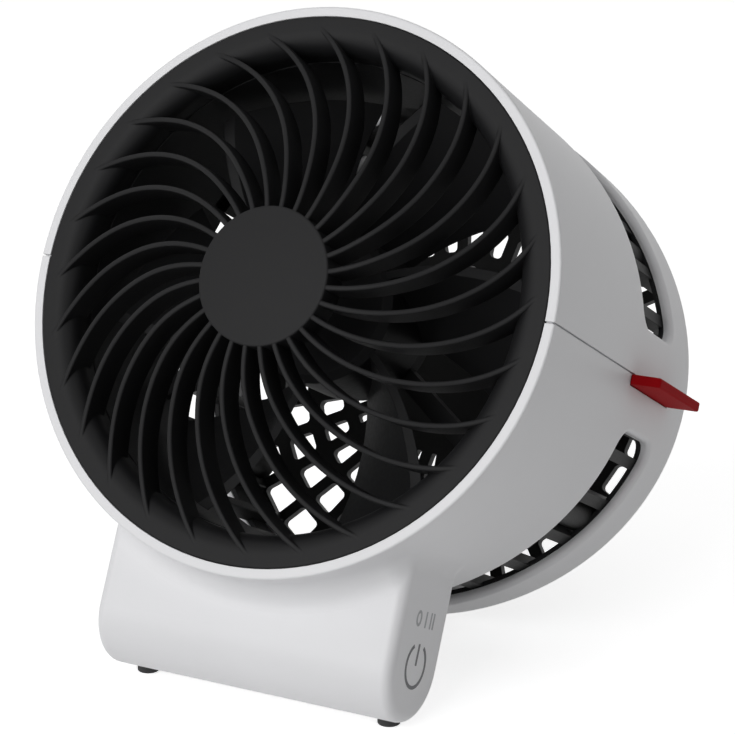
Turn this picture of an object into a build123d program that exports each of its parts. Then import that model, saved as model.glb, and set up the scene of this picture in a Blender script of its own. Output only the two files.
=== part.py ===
from build123d import *
import math
import os

os.makedirs("parts", exist_ok=True)

# A small tilted air circulator fan.  Everything is modelled in the drum's own frame first:
# X to the fan's right hand as seen from the front, Y back along the fan's axis, Z up square
# to that axis, with the origin at the centre of the front rim.  stand() then leans the whole
# fan back and sets it on the floor.  Millimetres and degrees.

# ---- drum, the round housing ----
drum_radius = 75.0            # outside of the front rim
drum_taper = 0.02             # radius lost per millimetre of depth
drum_depth = 117.2            # front rim to the back edge, at mid height
back_arc_radius = 172.0       # the back edge is this arc in side view
back_edge_radius = 8.0        # rounding of the back edge
front_edge_radius = 0.6
drum_wall = 4.4
back_band_wall = 6.2          # the wall's thick band at the back
wall_inner_radius = drum_radius - drum_wall
lip_inner_radius = drum_radius - back_band_wall
lip_start = 95.8              # depth at which the thick band starts
seam_width = 0.5              # groove between the two half shells
seam_depth = 0.9
lean = 25.3                   # the fan's axis points up by this angle

# ---- side slots ----
slot_front_depth = 69.35      # front edge of the slots at mid height
slot_front_arc_radius = 250.0
slot_back_depth = 95.2        # back edge of the slots at mid height
slot_back_arc_radius = 172.0
slot_low = 14.2               # first and last height of a slot, from the split plane
slot_high = drum_radius - 7.0
slot_corner_radius = 5.0
slot_lip_radius = 1.5         # soft outer edge of the slots

# ---- foot, moulded in one with the lower half shell ----
foot_half_width = 43.9
foot_front = 15.4             # its front and back faces, along the fan's axis
foot_back = 44.6
foot_reach = drum_radius + 27.0   # from the axis to its rounded end
foot_edge_radius = 2.8
foot_root_radius = 7.0        # soft run of the foot into the drum
foot_wall = 2.5

# ---- front grille ----
rim_width = 2.65              # white rim around the grille
rim_bore = drum_radius - rim_width
rim_gap = 0.15
grille_outer_radius = rim_bore - rim_gap
grille_bead_radius = grille_outer_radius + 0.6   # bead held behind the rim
rim_lip_depth = 2.2           # thickness of the rim's lip in front of the bead
ring_inner_radius = grille_outer_radius - 3.5   # inside of the ring's flat part
ring_roll_radius = 5.6        # from the flat ring into the collar
ring_thickness = 2.4
skirt_inner_radius = grille_bead_radius - 1.9
skirt_depth = 12.0
collar_wall = 2.2             # collar that the air comes out through
collar_inner_radius = ring_inner_radius - ring_roll_radius
collar_outer_radius = collar_inner_radius + collar_wall
collar_back = 9.5
rib_count = 28
rib_width = 1.4
rib_depth = 8.5
rib_arc_radius = 43.25        # each rib is an arc in front view
rib_arc_centre = (15.4, 43.0)
rib_first_angle = 10.93       # turns that arc to the first rib's place
rib_end_radius = grille_outer_radius - 1.5      # where the ribs run out into the flat ring
hub_disc_radius = 18.2
hub_disc_thickness = 2.0
hub_disc_wall = 1.6
dome_height = 12.5            # hub disc stands this far in front of the rim
dome_inner_places = ((30.0, -11.0), (46.0, -6.4))   # radius and depth of the ribs' front
dome_outer_places = ((10.2, -1.3), (0.2, 0.2))      # inwards from the grille's edge, and depth

# ---- fan frame: duct, struts and motor cup in one ----
frame_clearance = 0.2
duct_wall = 2.2
duct_radius = collar_outer_radius - frame_clearance - duct_wall
duct_front = collar_back + 2 * frame_clearance
duct_back = 50.0
duct_flange_thickness = 2.6
shell_rib_thickness = 2.0
shell_rib_radius = wall_inner_radius - 2.0
strut_count = 3
strut_first_angle = 84.0
strut_width = 5.0
strut_thickness = 4.5
cup_radius = 20.0
cup_thickness = 2.4
cup_rim_height = 3.4

# ---- impeller ----
impeller_hub_radius = 21.0
impeller_hub_wall = 1.8
impeller_front = 19.0
impeller_back = 43.4
impeller_boss_radius = 4.0
tip_gap = 1.4
impeller_tip_radius = duct_radius - tip_gap
blade_count = 6
blade_front = 20.4
blade_back = 43.2
blade_thickness = 1.8
blade_first_angle = 0.0       # blade's middle line, at mid depth and mid span
blade_mid_radius = 44.0
blade_twist = -1.5            # degrees per millimetre of depth
blade_sweep = -0.5            # degrees per millimetre of radius
blade_camber = 1.0
blade_sections = 5

# ---- motor ----
shaft_radius = 1.5
shaft_running_clearance = 0.03
shaft_front = 20.4
shaft_back = 47.0
bearing_radius = 4.0
bearing_length = 4.0
bearing_tube_radius = 5.2
bearing_tube_front = 28.2
bearing_tube_bore = 3.2
rear_bearing_front = 41.6
motor_flange_radius = 11.0
motor_flange_thickness = 1.5
stator_radius = 15.6
stator_front = 31.0
stator_length = 7.0
stator_teeth = 9
tooth_width = 2.2
tooth_tip_width = 6.6
tooth_tip_depth = 1.4
stator_core_radius = 7.2
coil_width = 4.2
coil_overhang = 1.2
motor_board_radius = 16.0
motor_board_thickness = 1.2
motor_board_front = 40.4
magnet_inner_radius = 16.2
magnet_length = 10.0
bell_wall = 0.9
bell_front = 27.0
bell_length = 13.0
clip_radius = 3.0
clip_thickness = 0.5
clip_gap = 0.3                # between the clip and the rear bearing
motor_screw_circle = 8.2
motor_screw_first_angle = 24.0
motor_screw_length = 3.6
lead_hole_radius = 1.3

# ---- back grille ----
back_grille_front = 100.5     # at its screws; its face is curved like the drum's back
back_grille_thickness = 2.8
back_grille_clearance = 0.3
back_spoke_count = 32
back_spoke_width = 3.4
back_row_count = 4
back_hub_radius = 24.6        # solid middle of the back grille
back_ring_width = 3.9         # rings between the rows of openings
back_edge_width = 1.6         # ring outside the last row
back_corner_radius = 1.4
back_screw_ear = 3.8

# ---- scent tray in the split on the right-hand side ----
tab_front = 61.2              # pull tab, along the fan's axis
tab_back = 96.2
tab_reach = drum_radius + 7.2
tab_thickness = 2.9           # from the split plane to the tab's underside
tab_top_gap = 0.25
tab_shoulder = 1.0
tab_edge_radius = 0.5
tab_gap = 0.3
tray_clearance = 0.3
tray_inner_end = 38.0
tray_frame = 3.4              # rim of the tray around the pad
tray_floor = 0.9
tray_travel = 28.0
pad_thickness = 1.4
rail_thickness = 2.4
rail_below = 2.0              # rail under and over its groove
rail_above = 1.2
rail_groove_depth = 0.9

# ---- electronics in the foot ----
board_thickness = 1.6
board_half_length = 36.0
board_top = 16.0 - foot_reach # height of the board's upper face, in the drum's frame
board_front = 19.6
board_back = 40.6
post_radius = 3.0
post_spread = 28.0
post_inset = 4.0
socket_x = -16.0
socket_width = 9.0
socket_height = 3.3
socket_front = 35.6
socket_back = 44.2
socket_shell = 0.35
socket_tongue = 0.7
socket_clearance = 0.3
sensor_half_size = 7.0
sensor_thickness = 1.6
sensor_depth = 30.0
sensor_height = 15.0 - foot_reach
chip_size = 9.0
chip_height = 1.4
chip_x = 4.0
capacitor_radius = 4.0
capacitor_length = 9.0
capacitor_x = 19.0

# ---- screws ----
screw_radius = 1.4
screw_head_radius = 2.6
screw_head_height = 1.5
screw_length = 7.0
small_screw_radius = 1.0
small_screw_head_radius = 1.9
small_screw_head_height = 0.9
small_screw_length = 4.5
screw_clearance = 0.1
boss_wall = 1.8
grille_boss_length = 9.0
grille_screw_angles = tuple(360 / back_spoke_count * step for step in (6.5, 9.5, 22.5, 25.5))
grille_screw_radius = lip_inner_radius - 5.2

# ---- rubber feet ----
front_pad_radius = 3.0
front_pad_x = 36.5
rear_pad_radius = 3.5
rear_pad_x = 13.0
rear_pad_proud = 0.9          # below the drum's lowest edge
pad_recess = 1.3

# ---- motor lead ----
lead_radius = 0.8
lead_angle = strut_first_angle - 120.0   # it runs behind this strut
lead_start_radius = 12.0
lead_depth = 51.2
lead_circle = wall_inner_radius - 1.1   # in the gap between duct and wall
lead_drop_angle = -62.0
lead_drop_depth = 35.0
lead_bend = 1.8

# ---- black sleeve that lines the drum behind the duct ----
sleeve_front = 52.6
sleeve_thickness = 1.2
sleeve_clearance = 0.2

far = 200.0                   # reach of cutting blocks, beyond every piece


# ------------------------------------------------------------------ helpers
def turned(*points):
    """Ring or disc about the fan's axis from (radius, depth) corners."""
    return revolve(make_face(Polyline(*points, close=True)), Axis.Y, 360)


def rod(radius, start, end, x=0.0, z=0.0):
    """Round bar along the fan's axis."""
    return Pos(x, 0, z) * turned((0, start), (radius, start), (radius, end), (0, end))


def block(x0, x1, y0, y1, z0, z1):
    return Pos((x0 + x1) / 2, (y0 + y1) / 2, (z0 + z1) / 2) * Box(x1 - x0, y1 - y0, z1 - z0)


def upright(radius, x, y, z0, z1):
    """Round bar square to the split plane."""
    return Pos(x, y, (z0 + z1) / 2) * Cylinder(radius, z1 - z0)


def side_extrusion(face, half_width):
    """A face drawn in side view, as (depth, height), extruded to both sides."""
    return extrude(Plane.YZ * face, half_width, both=True)


def about_axis(shape, angle):
    """Turns a piece about the fan's axis, from +X towards +Z."""
    return Rot(0, -angle, 0) * shape


def on_circle(radius, angle):
    return radius * math.cos(math.radians(angle)), radius * math.sin(math.radians(angle))


def outer_radius(depth):
    return drum_radius - drum_taper * depth


def one(shape):
    """The single solid in a boolean's result."""
    return max(shape.solids(), key=lambda s: s.volume)


# ------------------------------------------------------------------ housing
def before_back(depth):
    """All that lies before a face curved like the drum's back, which crosses the axis at a depth."""
    centre = depth - back_arc_radius
    return side_extrusion(Pos(centre, 0) * Rot(0, 0, 180) * Circle(back_arc_radius), far)


def drum_outside():
    body = turned((0, 0), (drum_radius, 0), (outer_radius(far), far), (0, far))
    body = one(body & before_back(drum_depth))
    back_edges = body.edges().filter_by(lambda e: e.center().Y > drum_depth / 2 and e.length > far)
    body = fillet(back_edges, back_edge_radius)
    front_edge = body.edges().filter_by(lambda e: e.bounding_box().max.Y < 0.01)
    return fillet(front_edge, front_edge_radius)


def foot_profile(inset):
    """Side view of the foot: straight sides and a full round end."""
    end_radius = (foot_back - foot_front) / 2 - inset
    front = foot_front + inset
    back = foot_back - inset
    low = -(foot_reach - inset - end_radius)
    tip = (front + end_radius, low - end_radius)
    return make_face(
        [
            Line((front, 0), (front, low)),
            ThreePointArc((front, low), tip, (back, low)),
            Line((back, low), (back, 0)),
            Line((back, 0), (front, 0)),
        ]
    )


def foot_outside():
    body = side_extrusion(foot_profile(0), foot_half_width)
    side_edges = body.edges().filter_by(
        lambda e: abs(abs(e.center().X) - foot_half_width) < 0.01 and e.center().Z < -1
    )
    return fillet(side_edges, foot_edge_radius)


def housing_outside():
    drum = drum_outside()
    whole = one(drum + foot_outside())
    root = whole.edges().filter_by(lambda e: is_foot_root(e))
    return fillet(root, foot_root_radius)


def is_foot_root(edge):
    """Edges where the foot leaves the drum: on the drum's surface and not on its ends."""
    spots = [edge.position_at(t) for t in (0.1, 0.5, 0.9)]
    on_drum = all(abs(math.hypot(p.X, p.Z) - outer_radius(p.Y)) < 0.05 for p in spots)
    in_reach = all(foot_front - 0.1 < p.Y < foot_back + 0.1 and p.Z < 0 for p in spots)
    return on_drum and in_reach


def housing_hollow():
    """Room inside the shells: grille seat, duct room and back bore, with the foot's pocket."""
    rib_front = skirt_depth + frame_clearance + duct_flange_thickness + frame_clearance
    rib_back = rib_front + shell_rib_thickness
    bead_radius = grille_bead_radius + frame_clearance
    drum = turned(
        (0, -1), (rim_bore, -1), (rim_bore, rim_lip_depth), (bead_radius, rim_lip_depth),
        (bead_radius, rib_front), (shell_rib_radius, rib_front), (shell_rib_radius, rib_back),
        (wall_inner_radius, rib_back), (wall_inner_radius, lip_start),
        (lip_inner_radius, lip_start), (lip_inner_radius, far), (0, far),
    )
    pocket = side_extrusion(foot_profile(foot_wall), foot_half_width - foot_wall)
    above = block(-far, far, 0, far, -wall_inner_radius / 2, far)
    return drum + (pocket - above)


def slot_cutter():
    """Both side slots above the split plane, through the whole housing."""
    front_centre = slot_front_depth - slot_front_arc_radius
    back_centre = slot_back_depth - slot_back_arc_radius

    def front_at(height):
        return front_centre + math.sqrt(slot_front_arc_radius**2 - height**2)

    def back_at(height):
        return back_centre + math.sqrt(slot_back_arc_radius**2 - height**2)

    middle = (slot_low + slot_high) / 2
    face = make_face(
        [
            ThreePointArc(
                (front_at(slot_low), slot_low),
                (front_at(middle), middle),
                (front_at(slot_high), slot_high),
            ),
            Line((front_at(slot_high), slot_high), (back_at(slot_high), slot_high)),
            ThreePointArc(
                (back_at(slot_high), slot_high),
                (back_at(middle), middle),
                (back_at(slot_low), slot_low),
            ),
            Line((back_at(slot_low), slot_low), (front_at(slot_low), slot_low)),
        ]
    )
    face = fillet(face.vertices(), slot_corner_radius)
    return side_extrusion(face, far)


def is_slot_lip(edge):
    """Outer edges of the slots along their back and ends."""
    spots = [edge.position_at(t) for t in (0.05, 0.5, 0.95)]
    outside = all(abs(math.hypot(p.X, p.Z) - outer_radius(p.Y)) < 0.05 for p in spots)
    in_slot = all(slot_low - 0.1 < abs(p.Z) < slot_high + 0.1 for p in spots)
    behind = edge.center().Y > slot_front_depth + slot_corner_radius
    long_back = edge.length > 2.5 * slot_corner_radius
    return outside and in_slot and behind and long_back


def seam_groove():
    """Fine groove that shows where the half shells meet."""
    slab = block(-far, far, -1, far, -seam_width / 2, seam_width / 2)
    core = turned(
        (0, seam_depth), (drum_radius - seam_depth, seam_depth),
        (outer_radius(far) - seam_depth, far), (0, far),
    )
    return slab - core


def housing():
    whole = housing_outside() - housing_hollow()
    upper_slots = slot_cutter()
    whole = one(whole - upper_slots - mirror(upper_slots, Plane.XY))
    lips = whole.edges().filter_by(lambda e: is_slot_lip(e))
    whole = fillet(lips, slot_lip_radius)
    return whole - seam_groove()


# ------------------------------------------------------------------ half shells
def half(whole, above):
    """The part of the housing above or below the split plane."""
    z0, z1 = (0, far) if above else (-far, 0)
    return one(whole & block(-far, far, -1, far, z0, z1))


def screw_place(angle):
    return on_circle(grille_screw_radius, angle)


def grille_boss(angle):
    """Boss on the drum's wall that takes one back grille screw."""
    x, z = screw_place(angle)
    radius = screw_radius + boss_wall
    start = back_grille_front - grille_boss_length
    web = block(grille_screw_radius, wall_inner_radius + 1, start, back_grille_front, -radius, radius)
    return about_axis(web, angle) + rod(radius, start, back_grille_front, x, z)


def with_grille_bosses(shell, above):
    bosses = [angle for angle in grille_screw_angles if (angle < 180) == above]
    hole_start = back_grille_front - grille_boss_length + 1
    for angle in bosses:
        x, z = screw_place(angle)
        shell = shell + grille_boss(angle)
        shell = shell - rod(screw_radius + screw_clearance, hole_start, back_grille_front + 1, x, z)
    return one(shell)


def upper_shell(whole):
    return with_grille_bosses(half(whole, True), True)


def tray_rail(outer, inner):
    """Rail beside the scent tray, from its outer to its inner side, with a groove for the tray."""
    step = math.copysign(rail_groove_depth, inner - outer)
    y0, y1 = sorted((outer, inner))
    g0, g1 = sorted((inner - step, inner + step))
    floor = -tab_thickness - tray_clearance
    start = tray_inner_end - rail_thickness
    free = rod(lip_inner_radius - tray_clearance, 0, far)
    rail = block(start, far, y0, y1, floor - rail_below, rail_above) & free
    rail = rail + block(start, wall_inner_radius + 1, y0, y1, floor - rail_below, 0)
    return rail - block(0, far, g0, g1, floor, 0)


def tray_side(depth, outward):
    """Outer side of the rail that holds the tray's side at a depth."""
    return depth + outward * (tray_clearance + rail_thickness - rail_groove_depth)


def tray_rails():
    front = tab_front + tab_shoulder
    back = tab_back - tab_shoulder
    front_outer = tray_side(front, -1)
    back_outer = tray_side(back, 1)
    front_rail = tray_rail(front_outer, front_outer + rail_thickness)
    back_rail = tray_rail(back_outer, back_outer - rail_thickness)
    return front_rail + back_rail


def tray_notch():
    y0 = tab_front + tab_shoulder - tray_clearance
    y1 = tab_back - tab_shoulder + tray_clearance
    return block(lip_inner_radius - 1, far, y0, y1, -tab_thickness - tray_clearance, 1)


def post_places():
    depths = (board_front + post_inset, board_back - post_inset)
    return [(x, y) for x in (-post_spread, post_spread) for y in depths]


def board_post(x, y):
    """Post in the foot's pocket that carries one corner of the control board."""
    pocket = side_extrusion(foot_profile(foot_wall / 2), foot_half_width)
    return upright(post_radius, x, y, -foot_reach, board_top - board_thickness) & pocket


def socket_outline(grow):
    width = socket_width + 2 * grow
    height = socket_height + 2 * grow
    return Plane.XZ * (Pos(socket_x, board_top + socket_height / 2) * SlotOverall(width, height))


def socket_bar(grow, start, end):
    """Flat-sided oval bar along the fan's axis, where the power socket sits."""
    return Pos(0, end, 0) * extrude(socket_outline(grow), end - start)


def lower_shell(whole):
    shell = with_grille_bosses(half(whole, False), False)
    shell = shell - tray_notch() + tray_rails()
    post_top = board_top - board_thickness
    hole_radius = small_screw_radius + screw_clearance
    for x, y in post_places():
        hole = upright(hole_radius, x, y, post_top - small_screw_length, post_top)
        shell = shell + board_post(x, y) - hole
    shell = shell - socket_bar(socket_clearance, board_back, foot_back + 1)
    return one(shell - front_pads() - rear_pads())


# ------------------------------------------------------------------ inner sleeve
def inner_sleeve():
    """Black lining of the drum behind the duct, open at the slots, the tray and the bosses."""
    outer = wall_inner_radius - sleeve_clearance
    inner = outer - sleeve_thickness
    back = lip_start - sleeve_clearance
    slots = slot_cutter()
    sleeve = turned((inner, sleeve_front), (outer, sleeve_front), (outer, back), (inner, back))
    sleeve = sleeve - slots - mirror(slots, Plane.XY)
    gap = tray_clearance
    tray_start = tray_side(tab_front + tab_shoulder, -1) - gap
    tray_low = -tab_thickness - tray_clearance - rail_below - gap
    sleeve = sleeve - block(0, far, tray_start, far, tray_low, rail_above + gap)
    half_boss = screw_radius + boss_wall + gap
    boss_start = back_grille_front - grille_boss_length - gap
    room = block(grille_screw_radius, far, boss_start, far, -half_boss, half_boss)
    for angle in grille_screw_angles:
        sleeve = sleeve - about_axis(room, angle)
    return one(sleeve)


# ------------------------------------------------------------------ front grille
def rib_point(radius, side):
    """Point of a rib's edge at a radius; side is -1, 0 or 1 across the rib."""
    centre_distance = math.hypot(*rib_arc_centre)
    centre_angle = math.degrees(math.atan2(rib_arc_centre[1], rib_arc_centre[0]))
    arc = rib_arc_radius + side * rib_width / 2
    share = (radius**2 + centre_distance**2 - arc**2) / (2 * radius * centre_distance)
    return on_circle(radius, centre_angle - math.degrees(math.acos(share)))


def rib_blank():
    """Front view of one rib, extruded through the grille's depth."""
    inner = hub_disc_radius - 1.2
    outer = rib_end_radius
    middle = (inner + outer) / 2
    face = make_face(
        [
            ThreePointArc(rib_point(inner, 1), rib_point(middle, 1), rib_point(outer, 1)),
            Line(rib_point(outer, 1), rib_point(outer, -1)),
            ThreePointArc(rib_point(outer, -1), rib_point(middle, -1), rib_point(inner, -1)),
            Line(rib_point(inner, -1), rib_point(inner, 1)),
        ]
    )
    depth = 2 * dome_height
    return Pos(0, depth / 2, 0) * extrude(Plane.XZ * face, 1.5 * depth)


def dome_shell():
    """Shallow dome in which the ribs lie."""
    outer = [(grille_outer_radius - inward, depth) for inward, depth in dome_outer_places]
    front = [(hub_disc_radius - 2, -dome_height), *dome_inner_places, *outer]
    back = [(radius, depth + rib_depth) for radius, depth in front]
    section = make_face(
        [
            Spline(*front),
            Line(front[-1], back[-1]),
            Spline(*back),
            Line(front[0], back[0]),
        ]
    )
    return revolve(section, Axis.Y, 360)


def grille_ring():
    """Flat ring inside the rim that rolls into the collar, with the skirt that the shells hold."""
    flat_start = (ring_inner_radius, 0)
    roll_end = (collar_inner_radius, ring_roll_radius)
    inwards = ring_roll_radius * math.sqrt(0.5)
    roll_middle = (ring_inner_radius - inwards, ring_roll_radius - inwards)
    section = make_face(
        [
            ThreePointArc(roll_end, roll_middle, flat_start),
            Polyline(
                flat_start, (grille_outer_radius, 0), (grille_outer_radius, ring_thickness),
                (grille_bead_radius, ring_thickness), (grille_bead_radius, skirt_depth),
                (skirt_inner_radius, skirt_depth), (skirt_inner_radius, ring_thickness),
                (collar_outer_radius, ring_thickness), (collar_outer_radius, collar_back),
                (collar_inner_radius, collar_back), roll_end,
            ),
        ]
    )
    return revolve(section, Axis.Y, 360)


def hub_disc():
    """Disc in the middle of the grille, with the rim on which the ribs end."""
    floor = -dome_height + hub_disc_thickness
    back = -dome_height + rib_depth
    inner = hub_disc_radius - hub_disc_wall
    disc = turned(
        (0, -dome_height), (hub_disc_radius, -dome_height), (hub_disc_radius, back),
        (inner, back), (inner, floor), (0, floor),
    )
    return fillet(disc.edges().sort_by(Axis.Y)[0], 0.4)


def front_grille():
    rib = one(rib_blank() & dome_shell())
    ribs = [about_axis(rib, rib_first_angle + 360 / rib_count * k) for k in range(rib_count)]
    return one(hub_disc().fuse(grille_ring(), *ribs))


# ------------------------------------------------------------------ fan frame
def duct():
    outer = duct_radius + duct_wall
    flange_front = skirt_depth + frame_clearance
    flange_back = flange_front + duct_flange_thickness
    return turned(
        (duct_radius, duct_front), (outer, duct_front), (outer, flange_front),
        (grille_bead_radius, flange_front), (grille_bead_radius, flange_back),
        (outer, flange_back), (outer, duct_back), (duct_radius, duct_back),
    )


def strut(angle):
    half_width = strut_width / 2
    start = duct_back - strut_thickness
    bar = block(cup_radius - 1, duct_radius + 1, start, duct_back, -half_width, half_width)
    return about_axis(bar, angle)


def motor_screw_places():
    angles = [motor_screw_first_angle + 120 * k for k in range(3)]
    return [on_circle(motor_screw_circle, angle) for angle in angles]


def lead_start():
    return on_circle(lead_start_radius, lead_angle)


def motor_cup():
    floor = duct_back - cup_thickness
    cup = rod(cup_radius, floor, duct_back)
    cup = cup + turned(
        (cup_radius - cup_thickness, floor - cup_rim_height), (cup_radius, floor - cup_rim_height),
        (cup_radius, duct_back), (cup_radius - cup_thickness, duct_back),
    )
    for x, z in motor_screw_places():
        cup = cup - rod(small_screw_radius + screw_clearance, floor - 1, duct_back + 1, x, z)
    x, z = lead_start()
    return cup - rod(lead_hole_radius, floor - 1, duct_back + 1, x, z)


def fan_frame():
    struts = [strut(strut_first_angle + 360 / strut_count * k) for k in range(strut_count)]
    return one(duct().fuse(motor_cup(), *struts))


# ------------------------------------------------------------------ impeller
def blade_section(radius):
    """Blade's cut at a radius, drawn on the plane that touches that circle."""
    middle_depth = (blade_front + blade_back) / 2
    half_chord = (blade_back - blade_front) / 2
    slope = radius * math.tan(math.radians(blade_twist * half_chord)) / half_chord
    half_width = blade_thickness / 2 * math.hypot(1, slope)
    reach = slope * half_chord
    face = make_face(
        [
            ThreePointArc(
                (-reach + half_width, -half_chord),
                (half_width + blade_camber, 0),
                (reach + half_width, half_chord),
            ),
            Line((reach + half_width, half_chord), (reach - half_width, half_chord)),
            ThreePointArc(
                (reach - half_width, half_chord),
                (-half_width + blade_camber, 0),
                (-reach - half_width, -half_chord),
            ),
            Line((-reach - half_width, -half_chord), (-reach + half_width, -half_chord)),
        ]
    )
    plane = Plane(origin=(radius, middle_depth, 0), x_dir=(0, 0, 1), z_dir=(1, 0, 0))
    tangent = Plane(origin=plane.origin, x_dir=(0, 0, 1), z_dir=(-1, 0, 0))
    angle = blade_first_angle + blade_sweep * (radius - blade_mid_radius)
    return about_axis(tangent * face, angle)


def blade():
    start = impeller_hub_radius - 2
    step = (impeller_tip_radius + tip_gap - start) / (blade_sections - 1)
    body = loft([blade_section(start + step * k) for k in range(blade_sections)])
    return body & turned(
        (impeller_hub_radius - 1, 0), (impeller_tip_radius, 0), (impeller_tip_radius, far),
        (impeller_hub_radius - 1, far),
    )


def impeller_hub():
    inner = impeller_hub_radius - impeller_hub_wall
    front = impeller_front + impeller_hub_wall
    hub = turned(
        (0, impeller_front), (impeller_hub_radius - 2, impeller_front),
        (impeller_hub_radius, impeller_front + 2), (impeller_hub_radius, impeller_back),
        (inner, impeller_back), (inner, front), (impeller_boss_radius, front),
        (impeller_boss_radius, bell_front), (0, bell_front),
    )
    return hub - rod(shaft_radius, shaft_front, far)


def impeller():
    first = one(blade())
    blades = [about_axis(first, 360 / blade_count * k) for k in range(blade_count)]
    return one(impeller_hub().fuse(*blades))


# ------------------------------------------------------------------ motor
def bell_radius():
    return impeller_hub_radius - impeller_hub_wall


def rotor_bell():
    outer = bell_radius()
    return turned(
        (shaft_radius, bell_front), (outer, bell_front), (outer, bell_front + bell_length),
        (outer - bell_wall, bell_front + bell_length), (outer - bell_wall, bell_front + bell_wall),
        (shaft_radius, bell_front + bell_wall),
    )


def magnet_ring():
    outer = bell_radius() - bell_wall
    start = bell_front + bell_length - magnet_length
    end = bell_front + bell_length
    return turned((magnet_inner_radius, start), (outer, start), (outer, end), (magnet_inner_radius, end))


def clip_front():
    return rear_bearing_front + bearing_length + clip_gap


def motor_shaft():
    return rod(shaft_radius, shaft_front, shaft_back)


def retaining_clip():
    start = clip_front()
    end = start + clip_thickness
    return turned((shaft_radius, start), (clip_radius, start), (clip_radius, end), (shaft_radius, end))


def bearing_tube():
    """Tube that holds both bearings, with the flange screwed to the motor cup."""
    back = duct_back - cup_thickness
    flange_front = back - motor_flange_thickness
    seat_end = bearing_tube_front + bearing_length
    tube = turned(
        (bearing_radius, bearing_tube_front), (bearing_tube_radius, bearing_tube_front),
        (bearing_tube_radius, flange_front), (motor_flange_radius, flange_front),
        (motor_flange_radius, back), (bearing_radius, back), (bearing_radius, rear_bearing_front),
        (bearing_tube_bore, rear_bearing_front), (bearing_tube_bore, seat_end),
        (bearing_radius, seat_end),
    )
    for x, z in motor_screw_places():
        tube = tube - rod(small_screw_radius, flange_front - 1, back + 1, x, z)
    return tube


def bearing(start):
    inner = shaft_radius + shaft_running_clearance
    end = start + bearing_length
    return turned((inner, start), (bearing_radius, start), (bearing_radius, end), (inner, end))


def stator_tooth():
    end = stator_front + stator_length
    half_stem = tooth_width / 2
    half_tip = tooth_tip_width / 2
    stem = block(stator_core_radius - 1, stator_radius - 0.5, stator_front, end, -half_stem, half_stem)
    start = stator_radius - tooth_tip_depth - 0.6
    tip = block(start, stator_radius + 1, stator_front, end, -half_tip, half_tip)
    return stem + (tip & rod(stator_radius, stator_front, end))


def stator_core():
    end = stator_front + stator_length
    core = turned(
        (bearing_tube_radius, stator_front), (stator_core_radius, stator_front),
        (stator_core_radius, end), (bearing_tube_radius, end),
    )
    tooth = stator_tooth()
    teeth = [about_axis(tooth, 360 / stator_teeth * k) for k in range(stator_teeth)]
    return one(core.fuse(*teeth))


def stator_coils():
    start = stator_core_radius + 0.4
    reach = stator_radius - tooth_tip_depth - 0.9
    end = stator_front + stator_length
    half_coil = coil_width / 2
    half_stem = tooth_width / 2
    coil = block(start, reach, stator_front - coil_overhang, end + coil_overhang, -half_coil, half_coil)
    coil = fillet(coil.edges().filter_by(Axis.X), 0.8)
    coil = coil - block(0, far, stator_front, end, -half_stem, half_stem)
    return [about_axis(coil, 360 / stator_teeth * k) for k in range(stator_teeth)]


def motor_board():
    end = motor_board_front + motor_board_thickness
    return turned(
        (bearing_tube_radius, motor_board_front), (motor_board_radius, motor_board_front),
        (motor_board_radius, end), (bearing_tube_radius, end),
    )


# ------------------------------------------------------------------ screws
def screw(radius, head_radius, head_height, length):
    """Screw with its head's underside at the origin and its shank towards -Y."""
    body = rod(radius, -length, 0) + rod(head_radius, 0, head_height)
    top = body.edges().sort_by(Axis.Y)[-1]
    body = fillet(top, head_height / 2)
    arm = head_radius * 0.6
    slot = head_radius * 0.12
    cross = block(-arm, arm, head_height / 2, far, -slot, slot)
    return body - cross - about_axis(cross, 90)


def small_screw(length):
    return screw(small_screw_radius, small_screw_head_radius, small_screw_head_height, length)


def motor_screws():
    piece = small_screw(motor_screw_length)
    return [Pos(x, duct_back, z) * piece for x, z in motor_screw_places()]


def board_screws():
    piece = Rot(90, 0, 0) * small_screw(small_screw_length - 0.5)
    return [Pos(x, y, board_top) * piece for x, y in post_places()]


def back_grille_screws():
    piece = screw(screw_radius, screw_head_radius, screw_head_height, screw_length)
    back = back_grille_front + back_grille_thickness
    places = [screw_place(angle) for angle in grille_screw_angles]
    return [Pos(x, back, z) * piece for x, z in places]


# ------------------------------------------------------------------ back grille
def grille_opening(inner, outer):
    """One opening between two spokes, in front view, centred on +X."""
    half_step = math.radians(180 / back_spoke_count)
    spoke = back_spoke_width / 2 / math.cos(half_step)
    low = inner * math.tan(half_step) - spoke
    high = outer * math.tan(half_step) - spoke
    face = make_face(Polyline((inner, -low), (outer, -high), (outer, high), (inner, low), close=True))
    return fillet(face.vertices(), min(back_corner_radius, 0.9 * low))


def back_grille():
    edge = lip_inner_radius - back_grille_clearance
    sketch = Circle(edge)
    pitch = (edge - back_edge_width + back_ring_width - back_hub_radius) / back_row_count
    step = 360 / back_spoke_count
    for row in range(back_row_count):
        inner = back_hub_radius + pitch * row
        opening = grille_opening(inner, inner + pitch - back_ring_width)
        sketch = sketch - [Rot(0, 0, step * k) * opening for k in range(back_spoke_count)]
    back = back_grille_front + back_grille_thickness
    screw_height = abs(screw_place(grille_screw_angles[0])[1])
    middle = back + back_arc_radius - math.sqrt(back_arc_radius**2 - screw_height**2)
    guard = Pos(0, drum_depth, 0) * extrude(Plane.XZ * sketch, drum_depth - duct_back)
    guard = guard & before_back(middle)
    guard = guard - before_back(middle - back_grille_thickness)
    for angle in grille_screw_angles:
        guard = guard + grille_ear(angle, back) - grille_screw_room(angle, back)
    return one(guard)


def grille_ear(angle, back):
    """Flat ear of the back grille that lies on a boss."""
    x, z = screw_place(angle)
    return rod(back_screw_ear, back_grille_front, back, x, z)


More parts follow.
